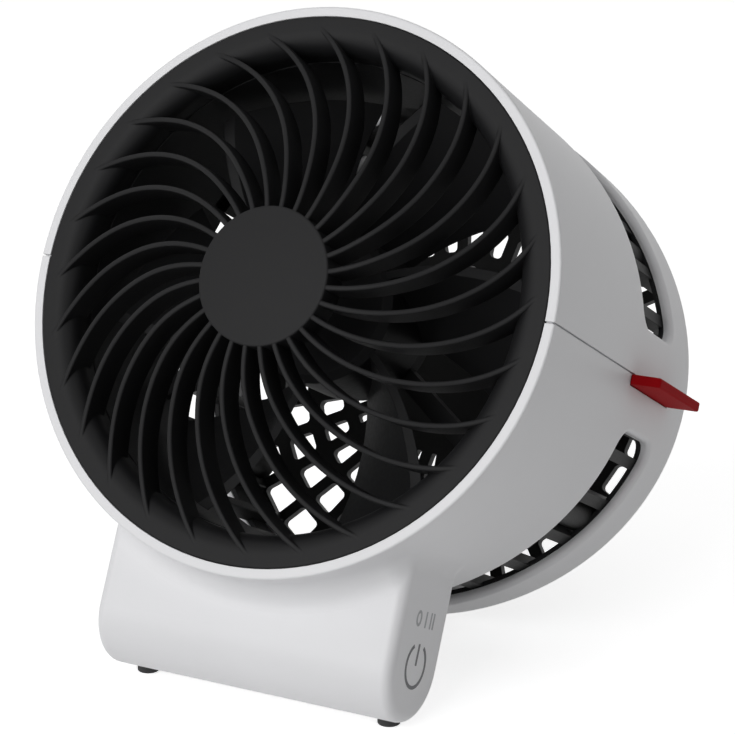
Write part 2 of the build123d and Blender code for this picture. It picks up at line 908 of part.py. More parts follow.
def grille_screw_room(angle, back):
    """Room in the back grille for a boss, its web, the screw and the screw's head."""
    x, z = screw_place(angle)
    boss = screw_radius + boss_wall + back_grille_clearance
    web = block(grille_screw_radius, far, 0, back_grille_front, -boss, boss)
    shank = rod(screw_radius + screw_clearance, 0, far, x, z)
    head = rod(screw_head_radius + back_grille_clearance, back, far, x, z)
    return about_axis(web, angle) + rod(boss, 0, back_grille_front, x, z) + shank + head


# ------------------------------------------------------------------ scent tray
def scent_tray():
    low = -tab_thickness
    top = -tab_top_gap
    front = tab_front + tab_shoulder
    back = tab_back - tab_shoulder
    body = block(tray_inner_end, tab_reach - 1, front, back, low, top)
    inner_end = tray_inner_end + tray_frame
    outer_end = lip_inner_radius - tray_frame
    body = body - block(inner_end, outer_end, front + tray_frame, back - tray_frame, low + tray_floor, far)
    tab = block(lip_inner_radius, tab_reach, tab_front, tab_back, low, top)
    tab = tab - turned(
        (0, 0), (outer_radius(0) + tab_gap, 0), (outer_radius(far) + tab_gap, far), (0, far)
    )
    tray = one(tab + body)
    ends = tray.edges().filter_by(Axis.Z).filter_by(lambda e: e.center().X > tab_reach - 0.01)
    tray = fillet(ends, 2 * tab_edge_radius)
    rims = tray.edges().filter_by(lambda e: e.center().X > tab_reach - 0.01)
    return fillet(rims.filter_by(Axis.Y), tab_edge_radius)


def scent_pad():
    gap = tray_clearance
    inner_end = tray_inner_end + tray_frame + gap
    outer_end = lip_inner_radius - tray_frame - gap
    front = tab_front + tab_shoulder + tray_frame + gap
    back = tab_back - tab_shoulder - tray_frame - gap
    low = -tab_thickness + tray_floor
    return block(inner_end, outer_end, front, back, low, low + pad_thickness)


# ------------------------------------------------------------------ electronics in the foot
def control_board():
    low = board_top - board_thickness
    board = block(-board_half_length, board_half_length, board_front, board_back, low, board_top)
    for x, y in post_places():
        board = board - upright(small_screw_radius + screw_clearance, x, y, low - 1, board_top + 1)
    return board


def controller_chip():
    half_size = chip_size / 2
    middle = (board_front + board_back) / 2
    return block(
        chip_x - half_size, chip_x + half_size, middle - half_size, middle + half_size,
        board_top, board_top + chip_height,
    )


def smoothing_capacitor():
    middle = (board_front + board_back) / 2
    body = upright(capacitor_radius, capacitor_x, middle, board_top, board_top + capacitor_length)
    return fillet(body.edges().sort_by(Axis.Z)[-1], 0.6)


def touch_sensor():
    """Sensing plate on the inside of the foot's right-hand wall, behind its touch mark."""
    outer = foot_half_width - foot_wall
    return block(
        outer - sensor_thickness, outer,
        sensor_depth - sensor_half_size, sensor_depth + sensor_half_size,
        sensor_height - sensor_half_size, sensor_height + sensor_half_size,
    )


def power_socket():
    """Metal-shelled socket on the board's rear edge, open to the back."""
    inside = socket_bar(-socket_shell, socket_front + 1, socket_back + 1)
    middle = board_top + socket_height / 2
    half_tongue = socket_width / 2 - 1.4
    tongue = block(
        socket_x - half_tongue, socket_x + half_tongue, socket_front + 0.5, socket_back - 1,
        middle - socket_tongue / 2, middle + socket_tongue / 2,
    )
    return one(socket_bar(0, socket_front, socket_back) - inside + tongue)


def motor_lead():
    """Lead from the motor board behind a strut, round the duct and down to the control board."""
    x0, z0 = lead_start()
    x1, z1 = on_circle(lead_circle, lead_angle)
    x2, z2 = on_circle(lead_circle, (lead_angle + lead_drop_angle) / 2)
    x3, z3 = on_circle(lead_circle, lead_drop_angle)
    start = motor_board_front + motor_board_thickness
    path = FilletPolyline(
        (x0, start, z0), (x0, lead_depth, z0), (x1, lead_depth, z1), (x2, lead_depth, z2),
        (x3, lead_depth, z3), (x3, lead_drop_depth, z3), (x3, lead_drop_depth, board_top),
        radius=lead_bend,
    )
    return sweep(Plane(origin=path @ 0, z_dir=path % 0) * Circle(lead_radius), path=path)


# ------------------------------------------------------------------ rubber feet
def leaned(shape):
    """Leans a piece back about the rim's centre line, as the fan stands."""
    return Rot(-lean, 0, 0) * shape


def unleaned(shape):
    return Rot(lean, 0, 0) * shape


def leaned_place(depth, height):
    """Depth and height of a point once the fan leans."""
    slope = math.radians(lean)
    new_depth = depth * math.cos(slope) + height * math.sin(slope)
    new_height = height * math.cos(slope) - depth * math.sin(slope)
    return new_depth, new_height


def drum_low_place():
    """Leaned centre of the back edge's rounding, below the axis."""
    height = back_edge_radius - outer_radius(back_grille_front)
    reach = back_arc_radius - back_edge_radius
    depth = drum_depth - back_arc_radius + math.sqrt(reach**2 - height**2)
    return leaned_place(depth, height)


def ground_height():
    return drum_low_place()[1] - back_edge_radius - rear_pad_proud


def pads(radius, spread, depth, top):
    """Pair of upright round pads from the ground up to a height in the leaned fan."""
    low = ground_height()
    pair = [upright(radius, x, depth, low, top) for x in (-spread, spread)]
    soft = [fillet(pad.edges().sort_by(Axis.Z)[0], 0.4) for pad in pair]
    return [unleaned(pad) for pad in soft]


def front_pads():
    end_radius = (foot_back - foot_front) / 2
    depth, height = leaned_place(foot_front + end_radius, end_radius - foot_reach)
    return pads(front_pad_radius, front_pad_x, depth, height - end_radius + pad_recess)


def rear_pads():
    depth, height = drum_low_place()
    drum_edge = outer_radius(back_grille_front)
    rise = drum_edge - math.sqrt(drum_edge**2 - rear_pad_x**2)
    top = height - back_edge_radius + rise + pad_recess
    return pads(rear_pad_radius, rear_pad_x, depth, top)


# ------------------------------------------------------------------ the whole fan
def pieces():
    whole = housing()
    return {
        "upper_shell": upper_shell(whole),
        "lower_shell": lower_shell(whole),
        "inner_sleeve": inner_sleeve(),
        "front_grille": front_grille(),
        "fan_frame": fan_frame(),
        "impeller": impeller(),
        "rotor_bell": rotor_bell(),
        "magnet_ring": magnet_ring(),
        "motor_shaft": motor_shaft(),
        "retaining_clip": retaining_clip(),
        "bearing_tube": bearing_tube(),
        "front_bearing": bearing(bearing_tube_front),
        "rear_bearing": bearing(rear_bearing_front),
        "stator_core": stator_core(),
        "stator_coils": stator_coils(),
        "motor_board": motor_board(),
        "motor_screws": motor_screws(),
        "back_grille": back_grille(),
        "back_grille_screws": back_grille_screws(),
        "scent_tray": scent_tray(),
        "scent_pad": scent_pad(),
        "control_board": control_board(),
        "controller_chip": controller_chip(),
        "smoothing_capacitor": smoothing_capacitor(),
        "board_screws": board_screws(),
        "touch_sensor": touch_sensor(),
        "power_socket": power_socket(),
        "motor_lead": motor_lead(),
        "front_pads": front_pads(),
        "rear_pads": rear_pads(),
    }


def stand(shapes):
    """Leans every piece and moves the fan so that its box stands centred on the floor."""
    leaning = {name: leaned(shape) for name, shape in shapes.items()}
    boxes = [shape.bounding_box() for shape in leaning.values()]
    low_x, high_x = min(box.min.X for box in boxes), max(box.max.X for box in boxes)
    low_y, high_y = min(box.min.Y for box in boxes), max(box.max.Y for box in boxes)
    low_z = min(box.min.Z for box in boxes)
    shift = Pos(-(low_x + high_x) / 2, -(low_y + high_y) / 2, -low_z)
    return {name: shift * shape for name, shape in leaning.items()}


def as_shape(piece):
    """A group of like pieces becomes one compound of separate solids."""
    if isinstance(piece, list):
        return Compound(children=[one(solid) for solid in piece])
    return one(piece)


shapes = {name: as_shape(piece) for name, piece in pieces().items()}
for name, shape in stand(shapes).items():
    export_step(shape, f"parts/{name}.step")
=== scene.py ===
import math

import bmesh
import bpy
from bpy.props import FloatProperty, IntProperty, PointerProperty, StringProperty
from mathutils import Matrix, Vector


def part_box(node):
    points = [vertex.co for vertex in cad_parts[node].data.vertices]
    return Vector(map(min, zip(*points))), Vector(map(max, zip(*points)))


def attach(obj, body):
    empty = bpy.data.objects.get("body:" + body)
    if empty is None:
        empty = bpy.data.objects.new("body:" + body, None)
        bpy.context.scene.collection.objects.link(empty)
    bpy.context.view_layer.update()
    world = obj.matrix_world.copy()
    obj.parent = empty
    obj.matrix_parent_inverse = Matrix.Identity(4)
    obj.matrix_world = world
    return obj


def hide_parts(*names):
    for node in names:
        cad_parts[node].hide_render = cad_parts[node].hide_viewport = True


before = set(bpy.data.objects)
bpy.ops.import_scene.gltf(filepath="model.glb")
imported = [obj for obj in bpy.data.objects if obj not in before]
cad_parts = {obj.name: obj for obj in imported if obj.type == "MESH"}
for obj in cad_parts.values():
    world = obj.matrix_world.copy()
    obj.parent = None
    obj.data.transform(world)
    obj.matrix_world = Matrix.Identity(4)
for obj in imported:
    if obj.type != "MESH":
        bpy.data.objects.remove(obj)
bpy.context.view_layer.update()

bl_info = {
    "name": "Air Circulator Fan Finishes",
    "version": (1, 0, 0),
    "blender": (4, 5, 0),
    "location": "3D View > Sidebar > Fan",
    "description": "Finishes and fine pieces of a small tilted air circulator fan",
    "category": "Object",
}

MM = 0.001

# The drum's own frame: X to the right, Y back along the shaft, Z up square to both, with the
# origin at the centre of the front rim.  Pieces of the drum are modelled in it.
LEAN = math.radians(25.3)
SHAFT_MIDDLE = 33.7 * MM  # depth of the shaft's middle behind the rim
SHAFT_LOW, SHAFT_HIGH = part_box("motor_shaft")
AXIS_DIRECTION = Vector((0, math.cos(LEAN), -math.sin(LEAN)))
RIM_CENTRE = (SHAFT_LOW + SHAFT_HIGH) / 2 - SHAFT_MIDDLE * AXIS_DIRECTION
DRUM = Matrix.Translation(RIM_CENTRE) @ Matrix.Rotation(-LEAN, 4, "X")


# ---------------------------------------------------------------- sizes and colours
class FanGrilleSizes(bpy.types.PropertyGroup):
    """Sizes of the front grille, in the drum's frame."""

    ribs: IntProperty(name="Ribs", description="Number of swirled ribs", default=28, min=3)
    rib_width: FloatProperty(
        name="Rib width", description="Width of a rib's front edge",
        default=1.4 * MM, unit="LENGTH",
    )
    rib_depth: FloatProperty(
        name="Rib depth", description="Depth of a rib along the fan's axis",
        default=8.5 * MM, unit="LENGTH",
    )
    rib_draft: FloatProperty(
        name="Rib draft", description="How much narrower a rib is at its back, for the mould",
        default=0.2 * MM, unit="LENGTH",
    )
    rib_arc_radius: FloatProperty(
        name="Rib arc radius", description="Radius of a rib's arc in front view",
        default=43.25 * MM, unit="LENGTH",
    )
    rib_arc_distance: FloatProperty(
        name="Rib arc distance", description="From the fan's axis to the centre of a rib's arc",
        default=45.674 * MM, unit="LENGTH",
    )
    rib_arc_angle: FloatProperty(
        name="Rib arc angle", description="Direction of the first rib's arc centre",
        default=math.radians(81.22), subtype="ANGLE",
    )
    rib_root: FloatProperty(
        name="Rib root", description="How far a rib runs in under the hub disc's edge",
        default=1.0 * MM, unit="LENGTH",
    )
    rib_reach: FloatProperty(
        name="Rib reach", description="How far a rib runs out over the flat ring",
        default=0.6 * MM, unit="LENGTH",
    )
    rib_edge_radius: FloatProperty(
        name="Rib edge radius", description="Moulded rounding of a rib's two front edges",
        default=0.52 * MM, unit="LENGTH",
    )
    disc_radius: FloatProperty(
        name="Disc radius", description="Radius of the flat hub disc",
        default=18.2 * MM, unit="LENGTH",
    )
    disc_front: FloatProperty(
        name="Disc front", description="How far the hub disc stands in front of the rim",
        default=12.5 * MM, unit="LENGTH",
    )
    disc_thickness: FloatProperty(
        name="Disc thickness", description="Thickness of the hub disc",
        default=2.0 * MM, unit="LENGTH",
    )
    disc_wall: FloatProperty(
        name="Disc wall", description="Wall behind the disc's edge, on which the ribs end",
        default=1.6 * MM, unit="LENGTH",
    )
    disc_edge_radius: FloatProperty(
        name="Disc edge radius", description="Moulded rounding of the hub disc's edge",
        default=0.48 * MM, unit="LENGTH",
    )
    ring_inner_radius: FloatProperty(
        name="Ring inner radius", description="Inside of the flat outer ring",
        default=68.7 * MM, unit="LENGTH",
    )
    ring_roll: FloatProperty(
        name="Ring roll", description="Radius by which the flat ring rolls into the collar",
        default=5.6 * MM, unit="LENGTH",
    )
    ring_outer_radius: FloatProperty(
        name="Ring outer radius", description="Outside of the flat outer ring",
        default=72.2 * MM, unit="LENGTH",
    )
    ring_thickness: FloatProperty(
        name="Ring thickness", description="Thickness of the flat ring",
        default=2.4 * MM, unit="LENGTH",
    )
    ring_edge_radius: FloatProperty(
        name="Ring edge radius", description="Moulded rounding of the flat ring's outer edge",
        default=0.4 * MM, unit="LENGTH",
    )
    bead_height: FloatProperty(
        name="Bead height", description="How far the bead that the shells hold stands out",
        default=0.6 * MM, unit="LENGTH",
    )
    skirt_inset: FloatProperty(
        name="Skirt inset", description="Inside of the skirt, from the ring's outside",
        default=1.3 * MM, unit="LENGTH",
    )
    skirt_depth: FloatProperty(
        name="Skirt depth", description="How far back the skirt reaches",
        default=12.0 * MM, unit="LENGTH",
    )
    collar_wall: FloatProperty(
        name="Collar wall", description="Wall of the collar that the air comes out through",
        default=2.2 * MM, unit="LENGTH",
    )
    collar_back: FloatProperty(
        name="Collar back", description="How far back the collar reaches",
        default=9.5 * MM, unit="LENGTH",
    )


class FanGuardSizes(bpy.types.PropertyGroup):
    """Sizes of the guard bars behind the side slots, in the drum's frame."""

    steps: IntProperty(
        name="Steps", description="Spokes of the back grille, each of which may have a bar",
        default=32, min=8,
    )
    width: FloatProperty(
        name="Width", description="Width of a bar", default=3.4 * MM, unit="LENGTH",
    )
    edge_radius: FloatProperty(
        name="Edge radius", description="Rounding of a bar's two inner edges",
        default=0.5 * MM, unit="LENGTH",
    )
    inner_radius: FloatProperty(
        name="Inner radius", description="Distance of a bar's inner side from the fan's axis",
        default=66.2 * MM, unit="LENGTH",
    )
    outer_radius: FloatProperty(
        name="Outer radius", description="Distance of a bar's outer side from the fan's axis",
        default=70.2 * MM, unit="LENGTH",
    )
    post_radius: FloatProperty(
        name="Post radius", description="Radius of the four stout posts among the bars",
        default=4.4 * MM, unit="LENGTH",
    )
    post_angle: FloatProperty(
        name="Post angle", description="Angle of the posts from the split plane",
        default=math.radians(33.75), subtype="ANGLE",
    )
    front: FloatProperty(
        name="Front", description="Where the bars start behind the rim",
        default=62 * MM, unit="LENGTH",
    )
    back: FloatProperty(
        name="Back", description="Where a bar in the split plane would meet the back grille",
        default=112.5 * MM, unit="LENGTH",
    )
    back_arc: FloatProperty(
        name="Back arc", description="Radius of the drum's back face in side view",
        default=172 * MM, unit="LENGTH",
    )
    low: FloatProperty(
        name="Low", description="Bars nearer to the split plane than this are left out",
        default=14.2 * MM, unit="LENGTH",
    )
    high: FloatProperty(
        name="High", description="Bars farther from the split plane than this are left out",
        default=64 * MM, unit="LENGTH",
    )


class FanMarkSizes(bpy.types.PropertyGroup):
    """Sizes of the touch marks on the foot's right-hand side, in the drum's frame."""

    side: FloatProperty(
        name="Side", description="Distance of the foot's side face from the middle",
        default=43.9 * MM, unit="LENGTH",
    )
    ring_radius: FloatProperty(
        name="Ring radius", description="Middle of the power ring's line",
        default=5.6 * MM, unit="LENGTH",
    )
    ring_depth: FloatProperty(
        name="Ring depth", description="Place of the ring's centre behind the rim",
        default=29.65 * MM, unit="LENGTH",
    )
    ring_height: FloatProperty(
        name="Ring height", description="Place of the ring's centre from the fan's axis",
        default=-87.0 * MM, unit="LENGTH",
    )
    ring_gap: FloatProperty(
        name="Ring gap", description="Half of the angle that is left open at the ring's top",
        default=math.radians(31), subtype="ANGLE",
    )
    ring_width: FloatProperty(
        name="Ring width", description="Width of the power ring's line and stroke",
        default=0.95 * MM, unit="LENGTH",
    )
    line_width: FloatProperty(
        name="Line width", description="Width of the speed figures' lines",
        default=0.75 * MM, unit="LENGTH",
    )
    figure_height: FloatProperty(
        name="Figure height", description="Height of the speed figures",
        default=4.2 * MM, unit="LENGTH",
    )
    figure_middle: FloatProperty(
        name="Figure middle", description="Place of the speed figures from the fan's axis",
        default=-75.1 * MM, unit="LENGTH",
    )
    nought_offset: FloatProperty(
        name="Nought offset", description="Place of the nought in front of the ring's centre",
        default=3.5 * MM, unit="LENGTH",
    )
    nought_radius: FloatProperty(
        name="Nought radius", description="Half of the nought's width, to its line's middle",
        default=1.2 * MM, unit="LENGTH",
    )
    ink_thickness: FloatProperty(
        name="Ink thickness", description="How far the ink stands on the plastic",
        default=0.05 * MM, unit="LENGTH",
    )


class FanColours(bpy.types.PropertyGroup):
    """Surface colours, written as sRGB hex."""

    shell: StringProperty(name="Shell", description="White ABS of the drum", default="E9E9EB")
    grille: StringProperty(name="Grille", description="Black ABS of the grille", default="19191A")
    duct: StringProperty(name="Duct", description="Black polypropylene", default="29292A")
    # Darker than the duct's black as painted shade for the guards deep behind the slots.
    guard: StringProperty(name="Guard", description="Black back guard", default="191919")
    impeller: StringProperty(name="Impeller", description="Black impeller", default="232324")
    tray: StringProperty(name="Tray", description="Red ABS of the scent tray", default="A00C13")
    felt: StringProperty(name="Felt", description="Undyed pressed felt", default="D9D6CC")
    rubber: StringProperty(name="Rubber", description="Rubber of the feet", default="2E2E2F")
    ink: StringProperty(name="Ink", description="Printed power ring", default="6A6B6E")
    pale_ink: StringProperty(name="Pale ink", description="Printed figures", default="B4B5B8")
    zinc: StringProperty(name="Zinc", description="Zinc plating of the screws", default="C4C6C8")
    steel: StringProperty(name="Steel", description="Drawn and ground steel", default="B9BABC")
    brass: StringProperty(name="Brass", description="Turned brass", default="D2B166")
    bronze: StringProperty(name="Bronze", description="Sintered bronze", default="A8763F")
    copper: StringProperty(name="Copper", description="Enamelled copper wire", default="B4562C")
    mask: StringProperty(name="Mask", description="Green solder mask", default="0F5A2C")
    ferrite: StringProperty(name="Ferrite", description="Sintered ferrite", default="2B2B2E")
    sheet: StringProperty(name="Sheet", description="Electrical steel sheet", default="8F9194")
    sheet_gap: StringProperty(name="Sheet gap", description="Between sheets", default="3A3B3D")
    wire_gap: StringProperty(name="Wire gap", description="Between turns", default="4A1E0E")
    epoxy: StringProperty(name="Epoxy", description="Moulded epoxy of the chip", default="1C1C1D")
    can: StringProperty(name="Can", description="Drawn aluminium can", default="D4D5D6")
    nickel: StringProperty(name="Nickel", description="Nickel plating", default="C9C4BA")
    jacket: StringProperty(name="Jacket", description="PVC of the lead", default="1E1E1F")


# ---------------------------------------------------------------- node and colour tools
def linear(code, alpha=1.0):
    """Linear colour from an sRGB hex code."""
    parts = [int(code[i:i + 2], 16) / 255 for i in (0, 2, 4)]
    turned = [p / 12.92 if p <= 0.04045 else ((p + 0.055) / 1.055) ** 2.4 for p in parts]
    return (*turned, alpha)


def dim(code, share):
    """Hex colour's linear value times a share."""
    red, green, blue, alpha = linear(code)
    return (red * share, green * share, blue * share, alpha)


def add_node(tree, kind, inputs=None, **settings):
    """Adds a node with its settings, and its inputs as values or as other nodes' sockets."""
    node = tree.nodes.new(kind)
    for name, value in settings.items():
        setattr(node, name, value)
    for name, value in (inputs or {}).items():
        if isinstance(value, bpy.types.NodeSocket):
            tree.links.new(value, node.inputs[name])
        else:
            node.inputs[name].default_value = value
    return node


def start_material(name):
    """Empty node material with its shader and output; returns material, tree and shader."""
    material = bpy.data.materials.new(name)
    material.use_nodes = True
    tree = material.node_tree
    tree.nodes.clear()
    shader = add_node(tree, "ShaderNodeBsdfPrincipled")
    add_node(tree, "ShaderNodeOutputMaterial", {"Surface": shader.outputs["BSDF"]})
    return material, tree, shader


def per_metre(size_mm):
    """Texture scale whose features are about this many millimetres wide."""
    return 1000.0 / size_mm


def place_of(tree):
    """Place in the piece's own frame, in metres."""
    return add_node(tree, "ShaderNodeTexCoord").outputs["Object"]


def drum_place_of(tree):
    """Place in the drum's frame, for CAD nodes, whose own frame is the standing fan's."""
    back = DRUM.inverted()
    return add_node(
        tree, "ShaderNodeMapping",
        {"Vector": place_of(tree), "Location": back.to_translation(), "Rotation": back.to_euler()},
    ).outputs["Vector"]


def turned_place_of(tree):
    """Radius and depth about the fan's axis, as the x and y of a vector."""
    place = drum_place_of(tree)
    flat = add_node(tree, "ShaderNodeVectorMath", {0: place, 1: (1, 0, 1)}, operation="MULTIPLY")
    flat = flat.outputs["Vector"]
    radius = add_node(tree, "ShaderNodeVectorMath", {0: flat}, operation="LENGTH")
    depth = add_node(tree, "ShaderNodeSeparateXYZ", {"Vector": place}).outputs["Y"]
    return add_node(
        tree, "ShaderNodeCombineXYZ", {"X": radius.outputs["Value"], "Y": depth},
    ).outputs["Vector"]


def noise(tree, place, size_mm, detail=2.0, distortion=0.0):
    """Cloudy noise from 0 to 1, with features of about the given size."""
    return add_node(
        tree, "ShaderNodeTexNoise",
        {"Vector": place, "Scale": per_metre(size_mm), "Detail": detail, "Distortion": distortion},
    ).outputs["Fac"]


def shade_between(tree, low, high, factor, start=0.0, end=1.0):
    """Colour that runs from low to high with a factor socket."""
    ramp = add_node(tree, "ShaderNodeValToRGB", {"Fac": factor})
    for element, position, colour in zip(ramp.color_ramp.elements, (start, end), (low, high)):
        element.position = position
        element.color = colour
    return ramp.outputs["Color"]


def spread(tree, factor, low, high):
    """A factor socket's usual run, from 0.3 to 0.7, spread between two values."""
    return add_node(
        tree, "ShaderNodeMapRange",
        {"Value": factor, "From Min": 0.3, "From Max": 0.7, "To Min": low, "To Max": high},
    ).outputs["Result"]


def relief(tree, shader, height, depth_mm, edge_mm=0.0):
    """Bumps a shader by a height socket, over edges rounded by a radius."""
    inputs = {"Height": height, "Strength": 1.0, "Distance": depth_mm * MM}
    if edge_mm:
        soft = add_node(tree, "ShaderNodeBevel", {"Radius": edge_mm * MM}, samples=4)
        inputs["Normal"] = soft.outputs["Normal"]
    bump = add_node(tree, "ShaderNodeBump", inputs)
    tree.links.new(bump.outputs["Normal"], shader.inputs["Normal"])


# ---------------------------------------------------------------- materials
def moulded_plastic(
    name, code, grain_mm, roughness, grain_depth_mm, mottle=0.05, ior=1.53, gleam=0.5,
):
    """Injection-moulded plastic with the fine grain of its mould.

    The real grain is near 0.1 mm.  Each plastic's grain_mm draws it coarser, so that it shows.
    The gleam is below a real plastic's 0.5 where the piece is dark or deeply coloured, since
    reflections see the white backdrop, which is much brighter than the room that lights it.
    """
    material, tree, shader = start_material(name)
    place = place_of(tree)
    grain = noise(tree, place, grain_mm, detail=3.0)
    # Slow flow marks of the melt, a few centimetres apart.
    flow = noise(tree, place, 38.0, distortion=0.6)
    tint = shade_between(tree, dim(code, 1 - mottle), linear(code), flow, 0.3, 0.7)
    tree.links.new(tint, shader.inputs["Base Color"])
    gloss = spread(tree, grain, roughness - 0.04, roughness + 0.04)
    tree.links.new(gloss, shader.inputs["Roughness"])
    relief(tree, shader, grain, grain_depth_mm, edge_mm=0.3)
    shader.inputs["IOR"].default_value = ior
    shader.inputs["Specular IOR Level"].default_value = gleam
    return material


def turned_metal(name, code, roughness, groove_mm=0.3, groove_depth_mm=0.006):
    """Metal turned or spun about the fan's axis: fine rings that stretch each highlight.

    Real rings lie near 0.05 mm apart.  They are drawn groove_mm apart, so that they show.
    """
    material, tree, shader = start_material(name)
    place = turned_place_of(tree)
    rings = noise(tree, place, groove_mm, detail=4.0)
    tint = shade_between(tree, dim(code, 0.82), linear(code), rings, 0.35, 0.65)
    tree.links.new(tint, shader.inputs["Base Color"])
    gloss = spread(tree, rings, roughness - 0.08, roughness + 0.1)
    tree.links.new(gloss, shader.inputs["Roughness"])
    relief(tree, shader, rings, groove_depth_mm, edge_mm=0.15)
    shader.inputs["Metallic"].default_value = 1.0
    return material


def plated_steel(name, code, roughness):
    """Electroplated steel: bright, with the faint cloudy bloom of its passivation."""
    material, tree, shader = start_material(name)
    place = place_of(tree)
    bloom = noise(tree, place, 2.2, detail=4.0, distortion=0.8)
    tint = shade_between(tree, dim(code, 0.75), linear(code), bloom, 0.3, 0.65)
    tree.links.new(tint, shader.inputs["Base Color"])
    gloss = spread(tree, bloom, roughness + 0.1, roughness - 0.05)
    tree.links.new(gloss, shader.inputs["Roughness"])
    # The fine unevenness of the metal below the plating, drawn at 0.3 mm.
    relief(tree, shader, noise(tree, place, 0.3, detail=3.0), 0.004, edge_mm=0.12)
    shader.inputs["Metallic"].default_value = 1.0
    return material


def granular(name, code, grain_mm, roughness, metallic, ior=1.5):
    """Pressed and sintered powder: packed grains with open pores between them."""
    material, tree, shader = start_material(name)
    place = place_of(tree)
    grains = add_node(
        tree, "ShaderNodeTexVoronoi", {"Vector": place, "Scale": per_metre(grain_mm)},
    )
    shade = noise(tree, place, 5 * grain_mm, detail=3.0)
    tint = shade_between(tree, dim(code, 0.6), linear(code), shade, 0.3, 0.7)
    tree.links.new(tint, shader.inputs["Base Color"])
    relief(tree, shader, grains.outputs["Distance"], 0.05 * grain_mm, edge_mm=0.15)
    shader.inputs["Roughness"].default_value = roughness
    shader.inputs["Metallic"].default_value = metallic
    shader.inputs["IOR"].default_value = ior
    return material


WAVE_RADIANS = 20  # what the wave texture turns through in one unit of its scale


def banded(name, code, gap_code, pitch_mm, axis, roughness, metallic):
    """Stacked sheets or laid wire: even bands across the radius (X) or the depth (Y)."""
    material, tree, shader = start_material(name)
    bands = add_node(
        tree, "ShaderNodeTexWave",
        {"Vector": turned_place_of(tree), "Scale": per_metre(pitch_mm) / WAVE_RADIANS * math.tau},
        bands_direction=axis,
    ).outputs["Fac"]
    tint = shade_between(tree, linear(gap_code), linear(code), bands, 0.05, 0.4)
    tree.links.new(tint, shader.inputs["Base Color"])
    relief(tree, shader, bands, 0.2 * pitch_mm)
    shader.inputs["Roughness"].default_value = roughness
    shader.inputs["Metallic"].default_value = metallic
    return material


def circuit_board(code):
    """FR-4 laminate under a green solder mask, with raised copper tracks.

    The eye gets a glossy green with paler lines; the tracks are drawn 0.5 mm wide.
    """
    material, tree, shader = start_material("FR-4 laminate, green solder mask")
    place = drum_place_of(tree)
    tracks = add_node(
        tree, "ShaderNodeTexBrick",
        {
            "Vector": place, "Scale": per_metre(1.0), "Mortar Size": 0.25, "Mortar Smooth": 0.3,
            "Brick Width": 5.5, "Row Height": 1.9, "Color1": (0, 0, 0, 1), "Color2": (0, 0, 0, 1),
            "Mortar": (1, 1, 1, 1),
        },
    )
    broken = noise(tree, place, 9.0)
    seen = add_node(
        tree, "ShaderNodeMath", {0: tracks.outputs["Fac"], 1: spread(tree, broken, 0.0, 1.0)},
        operation="MULTIPLY",
    ).outputs[0]
    tint = shade_between(tree, dim(code, 0.55), linear(code), seen)
    tree.links.new(tint, shader.inputs["Base Color"])
    relief(tree, shader, seen, 0.04)
    shader.inputs["Roughness"].default_value = 0.3
    shader.inputs["IOR"].default_value = 1.55
    return material


def wool_felt(code):
    """Pressed wool felt: matted fibres 0.03 mm thick, drawn 0.25 mm wide so that they show."""
    material, tree, shader = start_material("Wool felt, pressed")
    place = place_of(tree)
    layers = []
    for turn in (0.3, 1.2, 2.3):
        laid = add_node(
            tree, "ShaderNodeMapping",
            {"Vector": place, "Rotation": (0.2, 0.1, turn), "Scale": (1.0, 0.12, 1.0)},
        )
        layers.append(noise(tree, laid.outputs["Vector"], 0.25, detail=3.0, distortion=0.5))
    mat = add_node(tree, "ShaderNodeMath", {0: layers[0], 1: layers[1]}, operation="MAXIMUM")
    mat = add_node(tree, "ShaderNodeMath", {0: mat.outputs[0], 1: layers[2]}, operation="MAXIMUM")
    tint = shade_between(tree, dim(code, 0.6), linear(code), mat.outputs[0], 0.4, 0.75)
    tree.links.new(tint, shader.inputs["Base Color"])
    relief(tree, shader, mat.outputs[0], 0.25)
    shader.inputs["Roughness"].default_value = 1.0
    shader.inputs["Sheen Weight"].default_value = 0.4
    shader.inputs["Sheen Roughness"].default_value = 0.6
    return material


def printed_ink(name, code):
    """Screen-printed ink: matt, with the faint unevenness of the mesh it went through.

    A real mesh is near 0.1 mm.  It is drawn at 0.4 mm, so that it shows.
    """
    material, tree, shader = start_material(name)
    mesh = noise(tree, place_of(tree), 0.4, detail=2.0)
    tint = shade_between(tree, dim(code, 0.85), linear(code), mesh, 0.3, 0.7)
    tree.links.new(tint, shader.inputs["Base Color"])
    relief(tree, shader, mesh, 0.01)
    shader.inputs["Roughness"].default_value = 0.6
    return material


def finish_nodes(material, *names):
    """Gives all slots of CAD nodes a material."""
    for name in names:
        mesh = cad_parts[name].data
        if not mesh.materials:
            mesh.materials.append(material)
        for index in range(len(mesh.materials)):
            mesh.materials[index] = material


def colours():
    """The scene's surface colours."""
    return bpy.context.scene.fan_colours


# ---------------------------------------------------------------- mesh tools
SHARP_ANGLE = math.radians(35)  # edges between flatter faces than this are shaded smooth
ROUNDED_SHARE = 0.625  # of a section's side, at most, that one rounding takes up


def mesh_object(name, make, material, place=None, smooth=True):
    """Object from a bmesh that the given function fills, in the drum's frame by default."""
    shape = bmesh.new()
    make(shape)
    bmesh.ops.recalc_face_normals(shape, faces=shape.faces)
    shape.transform(DRUM if place is None else place)
    mesh = bpy.data.meshes.new(name)
    shape.to_mesh(mesh)
    shape.free()
    mesh.materials.append(material)
    if smooth:
        mesh.shade_smooth()
    piece = bpy.data.objects.new(name, mesh)
    bpy.context.scene.collection.objects.link(piece)
    return piece


def join_loops(shape, loops, closed):
    """Faces between like loops of vertices, and over the ends where they are not closed."""
    pairs = list(zip(loops, loops[1:]))
    if closed:
        pairs.append((loops[-1], loops[0]))
    for near, far in pairs:
        for i in range(len(near)):
            j = (i + 1) % len(near)
            shape.faces.new((near[i], near[j], far[j], far[i]))
    if not closed:
        shape.faces.new(loops[0])
        shape.faces.new(loops[-1])


